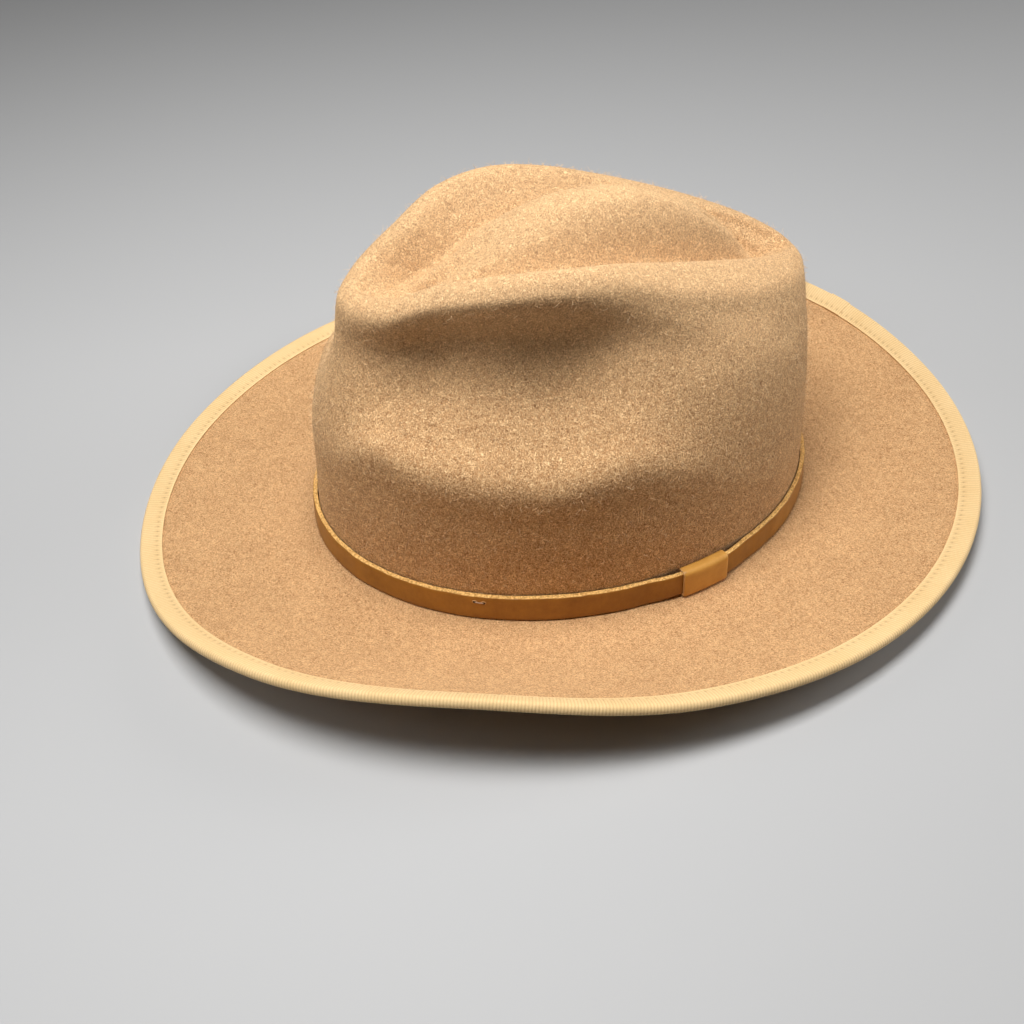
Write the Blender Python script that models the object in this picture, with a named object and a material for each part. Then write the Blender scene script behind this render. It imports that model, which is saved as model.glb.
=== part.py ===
"""Wool felt hat: a crown with a teardrop crease and pinched sides, a curled brim with a ribbon-bound
edge, and a leather strap round the crown's base held by a leather sleeve.

Metres, +Z up. The hat's front faces -Y and its wearer's left is +X. It stands on the plane z = 0 on the
flat ring of its brim round the head opening, with the middle of its outline on the Z axis.
"""
import bpy
import numpy as np
from mathutils import Matrix

# Felt body
FELT = 0.0020               # thickness of the felt
FELT_EDGE = 0.0010          # thickness of the felt inside the ribbon
CROWN_LENGTH = 0.205        # outside of the crown at its base, front to back
CROWN_WIDTH = 0.160         # outside of the crown at its base, side to side
CROWN_HEIGHT = 0.128        # top of the crown above the table
BACK_FULLNESS_SHARE = 0.020 # share by which the oval is wider behind its middle than in front of it
WALL_LEAN_SHARE = 0.074     # how far the wall leans in, as a share of its height
RIDGE_SET_FRONT = 0.0245    # from the crown's front to the front end of the crease's ridge
RIDGE_SET_BACK = 0.0100     # from the crown's back to the back end of the ridge
ROLL = 0.0080               # radius of the roll along the ridge, on its outside
ROLL_INSIDE = 0.0060        # radius of the roll on its inside
GUTTER_DEPTH = 0.0135       # deepest drop from the ridge to the gutter inside it
MOUND_SET_FRONT = 0.0525    # from the crown's front to the front end of the mound in the crease
MOUND_SET_BACK = 0.0405     # from the crown's back to the back end of the mound
MOUND_CREST = 0.0030        # half width of the mound's crest
BRIM_FRONT = 0.0718         # width of the brim along its surface, at the front
BRIM_SIDE = 0.0660          # width of the brim along its surface, at the sides
BRIM_BACK = 0.0738          # width of the brim along its surface, at the back
BRIM_CURL = 0.0285          # rise of the brim's edge where it curls up most
BREAK_WIDTH = 0.0080        # flat ring of the brim next to the crown
CURL_POWER = 1.5            # how late the brim turns up: 1 is straight, more is later

# Ribbon on the brim's edge
RIBBON = 0.0010             # thickness of the folded ribbon
RIBBON_TOP = 0.0074         # width of the ribbon on the brim's upper face
RIBBON_UNDER = 0.0066       # width of the ribbon on the lower face
RIBBON_ROUNDING = 0.7       # height of each slanted facet of its fold, as a share of half its section
FIT_GAP = 0.0003            # clearance between pieces

# Leather strap and sleeve
STRAP_HEIGHT = 0.0095
STRAP = 0.0020              # thickness of the strap
SLEEVE = 0.0010             # thickness of the sleeve
SLEEVE_LENGTH = 0.0195      # along the strap
SLEEVE_TURN = 105.6         # degrees from the front towards the wearer's left
SWELL_LENGTH = 0.0160       # stretch in which the strap eases out to pass over the sleeve's back

# Crown by turn round it, in degrees from the front. The other side mirrors these rows.
# ridge_out: half width of the ridge ring, as a share of half the crown's width.
# ridge_up and crest_up: heights of the ridge and of the mound's crest, as shares of the crown's height.
# roll_out and roll_down: reach and drop of the rounding outside the ridge, as shares of the roll.
# lip_up and hollow_up: heights at which the wall turns in and stands up again, as shares of the ridge's.
# hollow_in and under_in: how far the wall has come in there and half way up to the brow.
# shelf_up: share of the rise from lip to hollow at which half of the way in is done.
# gutter_in: how far the gutter lies from the ridge towards the crest. gutter_down: share of its depth.
CROWN_COLUMNS = ("turn", "ridge_out", "ridge_up", "roll_out", "roll_down", "lip_up", "hollow_up",
                 "hollow_in", "shelf_up", "under_in", "gutter_in", "gutter_down", "crest_up")
CROWN_ROWS = (
    (0.0,   0.000, 0.837, 0.80, 0.90, 0.460, 0.740, 0.55, 0.58, 0.66, 0.50, 0.30, 0.785),
    (15.0,  0.073, 0.841, 0.92, 0.90, 0.500, 0.730, 0.54, 0.54, 0.72, 0.49, 0.42, 0.801),
    (30.0,  0.196, 0.864, 0.90, 0.86, 0.580, 0.708, 0.66, 0.46, 0.87, 0.49, 0.66, 0.832),
    (45.0,  0.286, 0.912, 0.90, 0.84, 0.540, 0.703, 0.80, 0.44, 0.94, 0.50, 0.90, 0.875),
    (60.0,  0.422, 0.956, 0.90, 0.90, 0.500, 0.693, 0.83, 0.44, 0.95, 0.50, 0.95, 0.938),
    (75.0,  0.489, 0.967, 0.92, 0.98, 0.490, 0.668, 0.76, 0.44, 0.93, 0.49, 0.92, 0.983),
    (90.0,  0.473, 0.943, 1.20, 1.15, 0.530, 0.690, 0.55, 0.48, 0.74, 0.47, 0.80, 1.000),
    (105.0, 0.418, 0.893, 2.00, 1.30, 0.490, 0.725, 0.37, 0.54, 0.52, 0.45, 0.60, 0.993),
    (120.0, 0.346, 0.843, 2.30, 1.35, 0.390, 0.740, 0.30, 0.60, 0.41, 0.43, 0.46, 0.967),
    (135.0, 0.266, 0.798, 2.10, 1.25, 0.320, 0.740, 0.31, 0.60, 0.42, 0.42, 0.38, 0.925),
    (150.0, 0.177, 0.763, 1.60, 1.15, 0.280, 0.740, 0.34, 0.58, 0.44, 0.44, 0.35, 0.868),
    (165.0, 0.078, 0.737, 0.85, 0.90, 0.250, 0.740, 0.42, 0.58, 0.52, 0.48, 0.33, 0.810),
    (180.0, 0.000, 0.722, 0.40, 0.80, 0.250, 0.740, 0.52, 0.56, 0.60, 0.52, 0.32, 0.770),
)

WALL_SHARES = (0.0, 0.35, 0.70, 1.0)    # heights of the straight wall's rings, as shares of the lip's
SLOPE_SHARE = 0.62          # how far the middle of the inner slope lies from the ridge to the gutter
SLOPE_DROP_SHARE = 0.62     # how much of its drop is reached there
FLANK_SHARE = 0.50          # how far the mound's flank lies from the gutter to the crest
FLANK_RISE_SHARE = 0.72     # how much of the mound's rise is reached there
DIAGONAL = np.sqrt(0.5)     # sine and cosine of 45 degrees

# Rise of the brim's edge by turn, in degrees from the front towards the wearer's left, as a share of
# the brim's curl.
EDGE_COLUMNS = ("turn", "up")
EDGE_ROWS = (
    (0.0, 0.120), (30.0, 0.688), (60.0, 1.000), (90.0, 0.688), (120.0, 0.393), (150.0, 0.295),
    (180.0, 0.424), (210.0, 0.751), (240.0, 0.702), (270.0, 0.386), (300.0, 0.324), (330.0, 0.167),
)

# Facets
AROUND = 64                 # points round each ring
PROFILE_STEPS = 2           # rows of facets between two rows of the crown's shape
BRIM_STEPS = 5              # rows of facets across the open brim
SLEEVE_STEPS = 6            # facets along the sleeve
SHARP_ANGLE = 40.0          # degrees between two facets from which their edge is shaded sharp

TURNS = np.arange(AROUND) * 2.0 * np.pi / AROUND


def table(rows, columns):
    """Give each column of a table its name."""
    return dict(zip(columns, np.array(rows).T))


CROWN = table(CROWN_ROWS, CROWN_COLUMNS)
EDGE = table(EDGE_ROWS, EDGE_COLUMNS)


def cubic(before, here, after, beyond, share):
    """Cubic from here to after, with the slopes of its neighbours' chords."""
    slope_in = (after - before) / 2.0
    slope_out = (beyond - here) / 2.0
    rise = after - here
    return (here + slope_in * share + (3.0 * rise - 2.0 * slope_in - slope_out) * share ** 2
            + (slope_in + slope_out - 2.0 * rise) * share ** 3)


def around(column, turn):
    """Read a column given at equal turns of the whole circle, by a smooth cubic through its values."""
    count = len(column)
    place = turn / (2.0 * np.pi) * count
    low = np.floor(place).astype(int)
    before, here, after, beyond = (column[(low + step) % count] for step in (-1, 0, 1, 2))
    return cubic(before, here, after, beyond, place - low)


def mirrored(name, turn):
    """Read a crown column, whose half circle is mirrored to make the whole."""
    half = CROWN[name]
    return around(np.concatenate((half, half[-2:0:-1])), turn)


def refine(rows, beyond, steps):
    """Put steps - 1 new rows between each two rows, on a smooth cubic through them all and one beyond."""
    before = 2.0 * rows[0] - rows[1]
    padded = np.concatenate((before[None], rows, beyond[None]))
    fine = []
    for index in range(len(rows) - 1):
        for step in range(steps):
            fine.append(cubic(*padded[index:index + 4], step / steps))
    fine.append(rows[-1])
    return np.array(fine)


def at_height(plan, height):
    """Join a plan position and a height into points."""
    return np.column_stack((plan, np.broadcast_to(height, len(plan))))


def base_oval(turn):
    """Outside of the crown at its base: an ellipse, a little fuller behind."""
    along = -np.cos(turn)
    across = np.sin(turn) * (1.0 + BACK_FULLNESS_SHARE * along)
    return np.column_stack((across * CROWN_WIDTH / 2.0, along * CROWN_LENGTH / 2.0))


def oval_tangent(turn):
    """Rate at which the base oval's points move in plan as the turn grows."""
    across = np.cos(turn) - BACK_FULLNESS_SHARE * np.cos(2.0 * turn)
    return np.column_stack((across * CROWN_WIDTH / 2.0, np.sin(turn) * CROWN_LENGTH / 2.0))


def oval_outward(turn):
    """Outward direction of the base oval in plan, square to its tangent."""
    tangent = oval_tangent(turn)
    normal = np.column_stack((tangent[:, 1], -tangent[:, 0]))
    return normal / np.linalg.norm(normal, axis=1)[:, None]


def ring_between(turn, set_front, set_back, half_width):
    """Ring on the crown's top between two points of its middle line, set in from its front and back."""
    front = -CROWN_LENGTH / 2.0 + set_front
    back = CROWN_LENGTH / 2.0 - set_back
    along = (front + back) / 2.0 - np.cos(turn) * (back - front) / 2.0
    return np.column_stack((np.sign(np.sin(turn)) * half_width, along))


def wall_plan(turn, height):
    """Straight lower wall of the crown at a height above the table."""
    return base_oval(turn) - oval_outward(turn) * (WALL_LEAN_SHARE * (height - FELT))[:, None]


def crown_rows(turn):
    """Rings of the crown's outside from its base up over the ridge and gutter to the mound's crest."""
    base = base_oval(turn)
    ridge = ring_between(turn, RIDGE_SET_FRONT, RIDGE_SET_BACK,
                         mirrored("ridge_out", turn) * CROWN_WIDTH / 2.0)
    ridge_up = mirrored("ridge_up", turn) * CROWN_HEIGHT
    apart = np.linalg.norm(ridge - base, axis=1)
    inward = (ridge - base) / apart[:, None]
    lip_up = mirrored("lip_up", turn) * ridge_up
    lip_in = WALL_LEAN_SHARE * (lip_up - FELT)
    hollow_up = mirrored("hollow_up", turn) * ridge_up
    hollow_in = mirrored("hollow_in", turn) * apart
    shelf_up = lip_up + mirrored("shelf_up", turn) * (hollow_up - lip_up)
    out = mirrored("roll_out", turn) * ROLL
    down = mirrored("roll_down", turn) * ROLL
    rows = []
    for share in WALL_SHARES:
        height = FELT + share * (lip_up - FELT)
        rows.append(at_height(wall_plan(turn, height), height))
    for distance, height in (
        ((lip_in + hollow_in) / 2.0, shelf_up),
        (hollow_in, hollow_up),
        (mirrored("under_in", turn) * apart, (hollow_up + ridge_up - down) / 2.0),
        (apart - out, ridge_up - down),
        (apart - out * DIAGONAL, ridge_up - down * (1.0 - DIAGONAL)),
        (apart, ridge_up),
    ):
        rows.append(at_height(base + inward * distance[:, None], height))
    crest = ring_between(turn, MOUND_SET_FRONT, MOUND_SET_BACK, MOUND_CREST * np.abs(np.sin(turn)))
    crest_up = mirrored("crest_up", turn) * CROWN_HEIGHT
    inside = ROLL_INSIDE * DIAGONAL / np.linalg.norm(crest - ridge, axis=1)
    gutter_in = mirrored("gutter_in", turn)
    floor = ridge_up - mirrored("gutter_down", turn) * GUTTER_DEPTH
    flank_in = gutter_in + (1.0 - gutter_in) * FLANK_SHARE
    for share, height in (
        (inside, ridge_up - ROLL_INSIDE * (1.0 - DIAGONAL)),
        (gutter_in * SLOPE_SHARE, ridge_up + (floor - ridge_up) * SLOPE_DROP_SHARE),
        (gutter_in, floor),
        (flank_in, floor + (crest_up - floor) * FLANK_RISE_SHARE),
        (np.ones_like(gutter_in), crest_up),
    ):
        rows.append(at_height(ridge + share[:, None] * (crest - ridge), height))
    return refine(np.array(rows), rows[-2] * (-1.0, 1.0, 1.0), PROFILE_STEPS)


def edge_height(turn):
    """Height of the felt's upper face at the brim's edge."""
    return FELT / 2.0 + around(EDGE["up"], turn) * BRIM_CURL


def felt_reach(turn):
    """Level distance from the crown's wall to the felt's edge, from the brim's width and its rise."""
    ends = np.where(np.cos(turn) > 0.0, BRIM_FRONT, BRIM_BACK)
    width = ends + (BRIM_SIDE - ends) * np.sin(turn) ** 2 - RIBBON - FIT_GAP
    rise = edge_height(turn) - FELT
    return np.sqrt(width ** 2 - rise ** 2)


def brim_row(turn, reach):
    """Ring of the brim's upper face at a level distance from the crown's wall: flat, then turning up."""
    share = np.clip((reach - BREAK_WIDTH) / (felt_reach(turn) - BREAK_WIDTH), 0.0, None)
    height = FELT + (edge_height(turn) - FELT) * share ** CURL_POWER
    offset = oval_outward(turn) * np.broadcast_to(reach, len(turn))[:, None]
    return at_height(base_oval(turn) + offset, height)


def brim_rows(turn):
    """Rings of the brim's upper face from its edge in to the flat ring beside the crown."""
    whole = felt_reach(turn)
    tuck = whole - RIBBON_TOP + FIT_GAP
    rows = [brim_row(turn, whole), brim_row(turn, (whole + tuck) / 2.0), brim_row(turn, tuck)]
    full = tuck - (FELT - FELT_EDGE)
    for step in range(BRIM_STEPS + 1):
        rows.append(brim_row(turn, full + (BREAK_WIDTH - full) * step / BRIM_STEPS))
    return np.array(rows)


def mitre_normals(rows):
    """Offset direction at each point: square to the strips on both sides of it, longer at a corner."""
    round_tangent = np.roll(rows, -1, axis=1) - np.roll(rows, 1, axis=1)
    strip_tangent = rows[1:] - rows[:-1]
    strip_normal = np.cross(round_tangent[1:] + round_tangent[:-1], strip_tangent)
    strip_normal /= np.linalg.norm(strip_normal, axis=2)[:, :, None]
    below = np.concatenate((strip_normal[:1], strip_normal))
    above = np.concatenate((strip_normal, strip_normal[-1:]))
    alignment = (below * above).sum(axis=2)[:, :, None]
    return (below + above) / (1.0 + alignment)


def mesh_object(name, points, faces, material):
    """Make an object of a material from points and faces, shaded smooth below a sharp angle."""
    mesh = bpy.data.meshes.new(name)
    mesh.from_pydata([tuple(point) for point in points], [], faces)
    mesh.materials.append(material)
    mesh.validate()
    mesh.shade_smooth()
    mesh.set_sharp_from_angle(angle=np.radians(SHARP_ANGLE))
    piece = bpy.data.objects.new(name, mesh)
    bpy.context.scene.collection.objects.link(piece)
    return piece


def ring_strip(first, second, count):
    """Quads between two closed rings of points, given by the number of each ring's first point."""
    after = [(i + 1) % count for i in range(count)]
    return [(first + i, first + after[i], second + after[i], second + i) for i in range(count)]


def run_strip(first, second, count):
    """Quads between two open runs of points, given by the number of each run's first point."""
    return [(first + i, first + i + 1, second + i + 1, second + i) for i in range(count - 1)]


def cap_faces(first, count, flip):
    """Faces across a narrow ring, joining each point to the one mirrored on its other side."""
    faces = []
    for i in range(count // 2):
        left = (first + i, first + i + 1)
        right = (first + (count - i) % count, first + count - i - 1)
        face = [right[0], left[0], left[1], right[1]]
        if face[0] == face[1]:
            face.pop(0)
        if face[-1] == face[-2]:
            face.pop()
        faces.append(tuple(reversed(face)) if flip else tuple(face))
    return faces


def closed_sheet(name, top, bottom, material):
    """Closed solid between an upper and a lower sheet of rings, capped at the last ring of each."""
    rings, count = top.shape[:2]
    under = rings * count
    faces = ring_strip(under, 0, count)
    for start in range(0, under - count, count):
        faces += ring_strip(start, start + count, count)
        faces += ring_strip(under + start + count, under + start, count)
    faces += cap_faces(under - count, count, False)
    faces += cap_faces(2 * under - count, count, True)
    points = np.concatenate((top.reshape(-1, 3), bottom.reshape(-1, 3)))
    return mesh_object(name, points, faces, material)


def ring_tube(name, section, material):
    """Closed ring from the rings of its section's corners, in order round the section."""
    corners, count = section.shape[:2]
    faces = []
    for corner in range(corners):
        faces += ring_strip(corner * count, (corner + 1) % corners * count, count)
    return mesh_object(name, section.reshape(-1, 3), faces, material)


def finish(name, colour, roughness):
    """Plain material of one colour."""
    material = bpy.data.materials.new(name)
    material.use_nodes = True
    shader = material.node_tree.nodes["Principled BSDF"]
    shader.inputs["Base Color"].default_value = (*colour, 1.0)
    shader.inputs["Roughness"].default_value = roughness
    shader.inputs["Metallic"].default_value = 0.0
    return material


def felt_body():
    """Crown and brim in one piece of felt, hollow and open below, thinner inside the ribbon."""
    inside_ribbon = brim_rows(TURNS)[:3]
    open_brim = brim_rows(TURNS)[3:]
    rows = np.concatenate((inside_ribbon, open_brim, crown_rows(TURNS)))
    normals = mitre_normals(rows)
    thinning = np.zeros((len(rows), 1, 1))
    thinning[:len(inside_ribbon)] = (FELT - FELT_EDGE) / 2.0
    top = rows - normals * thinning
    bottom = rows - normals * (FELT - thinning)
    return closed_sheet("felt_body", top, bottom, finish("wool_felt", (0.42, 0.25, 0.14), 0.95))


def brim_binding():
    """Ribbon folded over the brim's edge: a narrow U that follows the edge all round."""
    whole = felt_reach(TURNS)
    edge = brim_row(TURNS, whole)
    inward = brim_row(TURNS, whole - RIBBON_TOP) - edge
    inward /= np.linalg.norm(inward, axis=1)[:, None]
    tangent = np.roll(edge, -1, axis=0) - np.roll(edge, 1, axis=0)
    normal = np.cross(tangent, inward)
    normal /= np.linalg.norm(normal, axis=1)[:, None]
    middle = edge - normal * FELT / 2.0
    inside = FELT_EDGE / 2.0 + FIT_GAP
    outside = inside + RIBBON
    flat = outside * (1.0 - RIBBON_ROUNDING)
    section = (
        (RIBBON_TOP, outside), (RIBBON_TOP, inside), (-FIT_GAP, inside), (-FIT_GAP, -inside),
        (RIBBON_UNDER, -inside), (RIBBON_UNDER, -outside), (0.0, -outside),
        (-FIT_GAP - RIBBON, -flat), (-FIT_GAP - RIBBON, flat), (0.0, outside),
    )
    corners = np.array([middle + inward * run + normal * rise for run, rise in section])
    return ring_tube("brim_binding", corners, finish("ribbon", (0.80, 0.56, 0.28), 0.8))


def strap_stand(turn):
    """Distance from the felt to the strap's back: a small gap, more where the sleeve passes behind."""
    sleeve = base_oval(np.radians(np.array((SLEEVE_TURN,))))
    distance = np.linalg.norm(base_oval(turn) - sleeve, axis=1)
    share = np.clip((distance - SLEEVE_LENGTH / 2.0) / SWELL_LENGTH, 0.0, 1.0)
    ease = 1.0 - share ** 2 * (3.0 - 2.0 * share)
    return FIT_GAP + (SLEEVE + FIT_GAP) * ease


def beside_wall(turn, height, stand):
    """Run of points at a height, standing off the felt's lower wall by a distance."""
    plan = wall_plan(turn, np.full(len(turn), height))
    return at_height(plan + oval_outward(turn) * np.broadcast_to(stand, len(turn))[:, None], height)


def leather_band():
    """Leather strap, a closed ring round the base of the crown."""
    low = FELT + FIT_GAP + SLEEVE + FIT_GAP
    high = low + STRAP_HEIGHT
    back = strap_stand(TURNS)
    face = back + STRAP
    section = ((low, back), (low, face), (high, face), (high, back))
    corners = np.array([beside_wall(TURNS, height, stand) for height, stand in section])
    return ring_tube("leather_band", corners, finish("brown_leather", (0.33, 0.14, 0.045), 0.5))


def band_keeper():
    """Leather sleeve wrapped once round the strap, which passes through it."""
    middle = np.radians(SLEEVE_TURN)
    half = SLEEVE_LENGTH / 2.0 / np.linalg.norm(oval_tangent(np.array((middle,))))
    turn = np.linspace(middle - half, middle + half, SLEEVE_STEPS + 1)
    low = FELT + FIT_GAP
    high = low + 2.0 * (SLEEVE + FIT_GAP) + STRAP_HEIGHT
    back = FIT_GAP
    face = back + 2.0 * (SLEEVE + FIT_GAP) + STRAP
    outer = ((low, back), (low, face), (high, face), (high, back))
    inner = ((low + SLEEVE, back + SLEEVE), (low + SLEEVE, face - SLEEVE),
             (high - SLEEVE, face - SLEEVE), (high - SLEEVE, back + SLEEVE))
    points = np.concatenate([beside_wall(turn, height, stand) for height, stand in outer + inner])
    count = len(turn)
    last = count - 1
    through = 4 * count
    faces = []
    for corner in range(4):
        here = corner * count
        after = (corner + 1) % 4 * count
        faces += run_strip(here, after, count)
        faces += run_strip(through + after, through + here, count)
        faces.append((here, after, through + after, through + here))
        faces.append((after + last, here + last, through + here + last, through + after + last))
    return mesh_object("band_keeper", points, faces, finish("tan_leather", (0.62, 0.33, 0.12), 0.45))


def centre_on_box(pieces):
    """Shift every mesh so that the middle of the whole hat's box lies on the Z axis."""
    corners = np.array([corner for piece in pieces for corner in piece.bound_box])
    middle = (corners.min(axis=0) + corners.max(axis=0)) / 2.0
    for piece in pieces:
        piece.data.transform(Matrix.Translation((-middle[0], -middle[1], 0.0)))


def main():
    for piece in list(bpy.data.objects):
        bpy.data.objects.remove(piece, do_unlink=True)
    centre_on_box([felt_body(), brim_binding(), leather_band(), band_keeper()])


main()
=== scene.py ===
import bpy
import numpy as np
from mathutils import Matrix, Vector


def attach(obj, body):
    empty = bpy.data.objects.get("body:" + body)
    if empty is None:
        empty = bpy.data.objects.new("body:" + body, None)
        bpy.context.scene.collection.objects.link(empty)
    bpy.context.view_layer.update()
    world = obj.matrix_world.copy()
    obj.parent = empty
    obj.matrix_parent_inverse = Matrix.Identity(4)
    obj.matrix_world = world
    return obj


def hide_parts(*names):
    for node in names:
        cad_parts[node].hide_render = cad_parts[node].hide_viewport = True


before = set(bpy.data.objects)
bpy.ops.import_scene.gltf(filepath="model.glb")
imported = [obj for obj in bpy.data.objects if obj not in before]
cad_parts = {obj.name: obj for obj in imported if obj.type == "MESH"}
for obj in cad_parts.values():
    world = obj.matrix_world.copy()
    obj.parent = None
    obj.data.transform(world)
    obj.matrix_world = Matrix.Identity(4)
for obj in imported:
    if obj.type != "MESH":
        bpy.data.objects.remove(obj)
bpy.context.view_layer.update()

# Sizes of the solid part
FELT = 0.0020
FELT_EDGE = 0.0010
RIBBON = 0.0010
RIBBON_TOP = 0.0074
RIBBON_UNDER = 0.0066
FIT_GAP = 0.0003
CROWN_LENGTH = 0.205
CROWN_WIDTH = 0.160
CROWN_HEIGHT = 0.128
BACK_FULLNESS_SHARE = 0.020
WALL_LEAN_SHARE = 0.074
RIDGE_SET_FRONT = 0.0245
RIDGE_SET_BACK = 0.0100
ROLL = 0.0080
ROLL_INSIDE = 0.0060
GUTTER_DEPTH = 0.0135
MOUND_SET_FRONT = 0.0525
MOUND_SET_BACK = 0.0405
MOUND_CREST = 0.0030
BRIM_FRONT = 0.0718
BRIM_SIDE = 0.0660
BRIM_BACK = 0.0738
BRIM_CURL = 0.0285
BREAK_WIDTH = 0.0080
CURL_POWER = 1.5

# Felt body, the sizes that only the look has
BREAK_FILLET = 0.0008       # rounding between brim and crown
FLAT_REACHES = (0.006, 0.004, 0.002)    # distances from the wall of the flat ring's inner rows
THIN_RUN = (RIBBON_TOP - 0.0003, RIBBON_TOP + 0.0008)   # run from the edge over which the felt thickens
CREST_LIFT = 0.12           # rise of the crest's middle line, as a share of the crest's half width
CREST_SHRINK = 0.97         # length of that line, as a share of the crest's
UNDER_SKIP = 3              # the lower sheet keeps every third row

# Crown by turn round it, in degrees from the front. The other side mirrors these rows.
# ridge_out: half width of the ridge ring, as a share of half the crown's width.
# ridge_up and crest_up: heights of the ridge and of the mound's crest, as shares of the crown's height.
# roll_out and roll_down: reach and drop of the rounding outside the ridge, as shares of the roll.
# lip_up and hollow_up: heights at which the wall turns in and stands up again, as shares of the ridge's.
# hollow_in and under_in: how far the wall has come in there, and half way from there up to the roll.
# shelf_up: share of the rise from lip to hollow at which half of the way in is done.
# gutter_in: how far the gutter lies from the ridge towards the crest. gutter_down: share of its depth.
CROWN_COLUMNS = ("turn", "ridge_out", "ridge_up", "roll_out", "roll_down", "lip_up", "hollow_up",
                 "hollow_in", "shelf_up", "under_in", "gutter_in", "gutter_down", "crest_up")
CROWN_ROWS = (
    (0.0,   0.000, 0.837, 0.80, 0.90, 0.460, 0.740, 0.55, 0.58, 0.66, 0.50, 0.30, 0.785),
    (15.0,  0.073, 0.841, 0.92, 0.90, 0.500, 0.730, 0.54, 0.54, 0.72, 0.49, 0.42, 0.801),
    (30.0,  0.196, 0.864, 0.90, 0.86, 0.580, 0.708, 0.66, 0.46, 0.87, 0.49, 0.66, 0.832),
    (45.0,  0.286, 0.912, 0.90, 0.84, 0.540, 0.703, 0.80, 0.44, 0.94, 0.50, 0.90, 0.875),
    (60.0,  0.422, 0.956, 0.90, 0.90, 0.500, 0.693, 0.83, 0.44, 0.95, 0.50, 0.95, 0.938),
    (75.0,  0.489, 0.967, 0.92, 0.98, 0.490, 0.668, 0.76, 0.44, 0.93, 0.49, 0.92, 0.983),
    (90.0,  0.473, 0.943, 1.20, 1.15, 0.530, 0.690, 0.55, 0.48, 0.74, 0.47, 0.80, 1.000),
    (105.0, 0.418, 0.893, 2.00, 1.30, 0.490, 0.725, 0.37, 0.54, 0.52, 0.45, 0.60, 0.993),
    (120.0, 0.346, 0.843, 2.30, 1.35, 0.390, 0.740, 0.30, 0.60, 0.41, 0.43, 0.46, 0.967),
    (135.0, 0.266, 0.798, 2.10, 1.25, 0.320, 0.740, 0.31, 0.60, 0.42, 0.42, 0.38, 0.925),
    (150.0, 0.177, 0.763, 1.60, 1.15, 0.280, 0.740, 0.34, 0.58, 0.44, 0.44, 0.35, 0.868),
    (165.0, 0.078, 0.737, 0.85, 0.90, 0.250, 0.740, 0.42, 0.58, 0.52, 0.48, 0.33, 0.810),
    (180.0, 0.000, 0.722, 0.40, 0.80, 0.250, 0.740, 0.52, 0.56, 0.60, 0.52, 0.32, 0.770),
)

WALL_SHARES = (0.0, 0.35, 0.70, 1.0)    # heights of the straight wall's rings, as shares of the lip's
SLOPE_SHARE = 0.62          # how far the middle of the inner slope lies from the ridge to the gutter
SLOPE_DROP_SHARE = 0.62     # how much of its drop is reached there
FLANK_SHARE = 0.50          # how far the mound's flank lies from the gutter to the crest
FLANK_RISE_SHARE = 0.72     # how much of the mound's rise is reached there
DIAGONAL = np.sqrt(0.5)     # sine and cosine of 45 degrees

# Rise of the brim's edge by turn, in degrees from the front towards the wearer's left, as a share of
# the brim's curl.
EDGE_COLUMNS = ("turn", "up")
EDGE_ROWS = (
    (0.0, 0.120), (30.0, 0.688), (60.0, 1.000), (90.0, 0.688), (120.0, 0.393), (150.0, 0.295),
    (180.0, 0.424), (210.0, 0.751), (240.0, 0.702), (270.0, 0.386), (300.0, 0.324), (330.0, 0.167),
)

# Ribbon and its stitching
RIBBON_THIN = 0.00035       # how much thinner the ribbon looks at its two selvages
THIN_FROM = 0.55            # share of the ribbon's width at which it starts to thin
RIBS_TO = 0.93              # share of the ribbon's width at which the ribs start to fade
TOP_SHARES = (1.0, 0.97, 0.86, 0.78, 0.73, 0.66, 0.50, 0.25)    # rows of the section, as shares of the width
UNDER_SHARES = (0.25, 0.6, 0.95, 1.0)
FOLD_ROWS = 7
RIB_PITCH = 0.00112         # from one rib of the ribbon to the next
RIB_HEIGHT = 0.00016
RIB_STEPS = 4               # facets along one rib's width
RIB_LEVEL = 0.6             # height of the plain section between furrow and top of a rib
LAP_TURN = 162.9            # where the ribbon's ends lap, on the wearer's right
LAP_LENGTH = 0.0100
LAP_HEIGHT = 0.00045
LAP_STEP = 0.0004           # length over which the lap rises
STITCH_PITCH = 0.0030
STITCH_LENGTH = 0.0020
STITCH_SET = 0.0020         # from the ribbon's inner edge to the row of stitches
THREAD = 0.00030            # thickness of the sewing thread
PUCKER = 0.00022            # how deep the thread draws the ribbon in
PUCKER_BETWEEN = 0.35       # share of that between the holes
PUCKER_WIDTH = 0.00050
HOLE_LENGTH = 0.00045
STITCH_SINK = 0.00022       # how deep a stitch's ends lie under the ribbon's face
STITCH_ARCH = 0.00030

# Leather strap, its tack and its sleeve
STRAP_HEIGHT = 0.0095
STRAP = 0.0020
STRAP_CORNER = 0.00025
STRAP_DROP = 0.0009         # how far the strap settles towards the brim away from the sleeve
EDGE_WAVER = 0.00008        # spread of the height of the strap's upper edge
FACE_WAVER = 0.00006        # spread of the thickness
RAW_RAG = 0.00008           # spread of the roughness of the raw edges
SLEEVE = 0.0010
SLEEVE_LENGTH = 0.0195
SLEEVE_TURN = 105.6
SLEEVE_CORNER = 0.0013
SLEEVE_SWELL = 0.00025      # how far the sleeve's face bulges at its middle
SWELL_LENGTH = 0.0160       # length over which the strap comes back to the felt beside the sleeve
SLEEVE_ROUND = 0.00035      # rounding of the sleeve's ends
SLEEVE_END = 0.04           # length of that rounding, as a share of the sleeve's
TACK_TURN = 57.0
TACK_SPACING = 0.0033
TACK_DROP = 0.0026          # from the strap's upper edge down to the tack's holes
TACK_SLANT = 0.0001         # how far each hole lies above or below the middle of both
TACK_THREAD = 0.00019       # half the thickness of the tack's thread
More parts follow.
